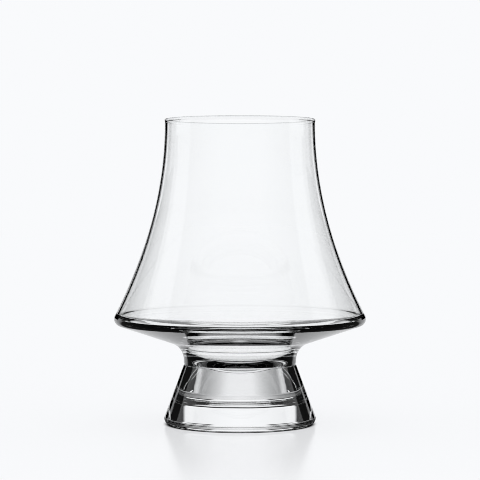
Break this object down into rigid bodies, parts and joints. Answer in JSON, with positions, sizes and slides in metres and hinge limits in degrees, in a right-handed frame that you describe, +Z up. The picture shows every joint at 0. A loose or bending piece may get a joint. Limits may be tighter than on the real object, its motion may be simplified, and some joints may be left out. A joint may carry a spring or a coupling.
{
  "type": "tasting glass",
  "caption": "Clear tasting glass with a narrow mouth, walls flaring to a wide low shoulder, a sloping floor with a deep round well, and a solid conical foot to stand on.",
  "frame": {"origin": "centre of the foot's flat underside", "axes": "+Z up along the axis that the whole glass is turned about, X and Y square to it"},
  "size_m": [0.0944, 0.0944, 0.1144],
  "materials": {
    "bowl_glass": "thin blown clear glass, fire polished",
    "foot_glass": "thick pressed clear glass, fire polished, flat polished underside"
  },
  "bodies": {
    "root": {"bowl": "bowl_glass", "foot": "foot_glass"}
  },
  "joints": []
}
